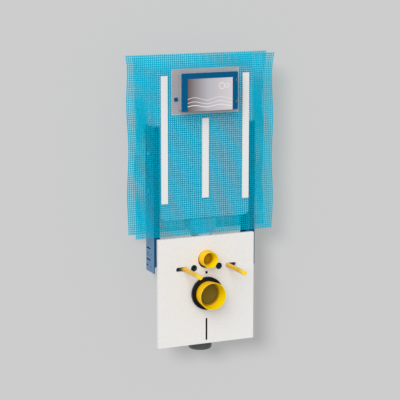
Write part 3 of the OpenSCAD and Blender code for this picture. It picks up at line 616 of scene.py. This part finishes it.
materials = make_materials()
record_slots = {part["node"]: part["material_slot"] for part in frame["record"]["subparts"]}
for node_name, obj in nodes.items():
    obj.data.materials.clear()
    obj.data.materials.append(materials[record_slots[node_name]])

flange_low, flange_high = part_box("box_flange")
room = Vector((2 * MM, 0, 2 * MM))
front_sheet = net_sheet("net_front_threads", "net_front", materials["net_blue"],
                        cut=(flange_low - room, flange_high + room), seed=0.4)
back_sheet = net_sheet("net_back_threads", "net_back", materials["net_blue"], seed=2.1)

for side_name in ("left", "right"):
    threaded_rod("rod_thread_" + side_name, "rod_" + side_name, materials["zinc"])

leg_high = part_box("leg_right")[1].x
clamp_low, clamp_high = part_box("drain_clamp")
clamp_z = (clamp_low.z + clamp_high.z) / 2
bar_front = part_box("rear_crossbar")[0].y
lug_places = [((s * leg_high, LUG_BOLT_Y, z), (s, 0, 0)) for s in (-1, 1) for z in LUG_BOLT_HEIGHTS]
clamp_places = [((s * CLAMP_BOLT_X, CLAMP_BOLT_Y, clamp_z), (0, -1, 0)) for s in (-1, 1)]
crossbar_places = [((s * CROSSBAR_BOLT_X, bar_front, CROSSBAR_BOLT_Z), (0, -1, 0)) for s in (-1, 1)]
hex_bolts("lug_bolts", lug_places, LARGE_BOLT, materials["zinc"])
hex_bolts("clamp_bolts", clamp_places, SMALL_BOLT, materials["zinc"])
hex_bolts("crossbar_bolts", crossbar_places, LARGE_BOLT, materials["zinc"])


# Wall, lamps and camera


def make_wall():
    """Grey wall behind the object. Only the camera, mirrors and glass meet it, and only from the front.

    Its own lamp gives it the object's soft shadow.
    """
    mat = principled("wall_grey", linear(204, 204, 204), 0.9)
    path = add(mat, "ShaderNodeLightPath")
    geometry = add(mat, "ShaderNodeNewGeometry")
    seen = math_node(mat, "MAXIMUM", path.outputs["Is Camera Ray"], path.outputs["Is Glossy Ray"])
    seen = math_node(mat, "MAXIMUM", seen, path.outputs["Is Transmission Ray"])
    shown = math_node(mat, "MULTIPLY", seen, math_node(mat, "SUBTRACT", 1.0, geometry.outputs["Backfacing"]))
    clear = add(mat, "ShaderNodeBsdfTransparent")
    glow = add(mat, "ShaderNodeEmission", Color=(WALL_GLOW, WALL_GLOW, WALL_GLOW, 1.0), Strength=1.0)
    diffuse = add(mat, "ShaderNodeBsdfDiffuse", Color=(WALL_DIFFUSE, WALL_DIFFUSE, WALL_DIFFUSE, 1.0))
    both = add(mat, "ShaderNodeAddShader")
    wire(mat, glow.outputs["Emission"], both.inputs[0])
    wire(mat, diffuse.outputs["BSDF"], both.inputs[1])
    mix = add(mat, "ShaderNodeMixShader")
    wire(mat, shown, mix.inputs[0])
    wire(mat, clear.outputs["BSDF"], mix.inputs[1])
    wire(mat, both.outputs["Shader"], mix.inputs[2])
    wire(mat, mix.outputs["Shader"], surface(mat))
    y, r = WALL_Y, WALL_HALF
    wall = mesh_object("wall", [(-r, y, -r), (r, y, -r), (r, y, r), (-r, y, r)], [(0, 1, 2, 3)], mat)
    return wall


def make_world():
    """Even white light; the camera and mirrors see greys in its place."""
    world = bpy.data.worlds.new("studio")
    scene.world = world
    world.use_nodes = True
    tree = world.node_tree
    light = tree.nodes["Background"]
    light.inputs["Color"].default_value = (1.0, 1.0, 1.0, 1.0)
    light.inputs["Strength"].default_value = WORLD_STRENGTH
    path = tree.nodes.new("ShaderNodeLightPath")
    out = light.outputs[0]
    for ray, shade in (("Is Glossy Ray", linear(120, 120, 120)), ("Is Camera Ray", linear(204, 204, 204))):
        seen = tree.nodes.new("ShaderNodeBackground")
        seen.inputs["Color"].default_value = shade
        mix = tree.nodes.new("ShaderNodeMixShader")
        tree.links.new(path.outputs[ray], mix.inputs[0])
        tree.links.new(out, mix.inputs[1])
        tree.links.new(seen.outputs[0], mix.inputs[2])
        out = mix.outputs[0]
    tree.links.new(out, tree.nodes["World Output"].inputs["Surface"])


def make_sun(name, azimuth, elevation, strength, spread):
    """Azimuth 0 shines along +Y, and more of it comes from the left."""
    a, e = math.radians(azimuth), math.radians(elevation)
    lamp = bpy.data.lights.new(name, "SUN")
    lamp.energy = strength
    lamp.angle = math.radians(spread)
    obj = bpy.data.objects.new(name, lamp)
    towards = Vector((math.sin(a) * math.cos(e), math.cos(a) * math.cos(e), -math.sin(e)))
    obj.rotation_euler = towards.to_track_quat("-Z", "Y").to_euler()
    scene.collection.objects.link(obj)
    return obj


def lights_only(lamp, lit):
    """The lamp shines on the wall alone, or on all but the wall; all objects still cast shadows in it."""
    receivers = bpy.data.collections.new("lit_by_" + lamp.name)
    for obj in lit:
        receivers.objects.link(obj)
    lamp.light_linking.receiver_collection = receivers


def make_camera():
    """The camera that was fitted to the photo."""
    lens = bpy.data.cameras.new("camera")
    lens.sensor_width = 36
    lens.lens = CAMERA_LENS
    lens.clip_end = 50
    camera = bpy.data.objects.new("camera", lens)
    camera.location = CAMERA_PLACE
    aim = Vector(CAMERA_AIM) - camera.location
    camera.rotation_euler = aim.to_track_quat("-Z", "Y").to_euler()
    scene.collection.objects.link(camera)
    scene.camera = camera


wall = make_wall()
make_world()
key = make_sun("key", azimuth=38, elevation=34, strength=1.72, spread=50)
wall_key = make_sun("wall_key", azimuth=41, elevation=24, strength=8.8, spread=18)
lights_only(wall_key, [wall])
lights_only(key, [obj for obj in scene.objects if obj.type == "MESH" and obj != wall])
make_camera()
scene.view_settings.view_transform = "Standard"
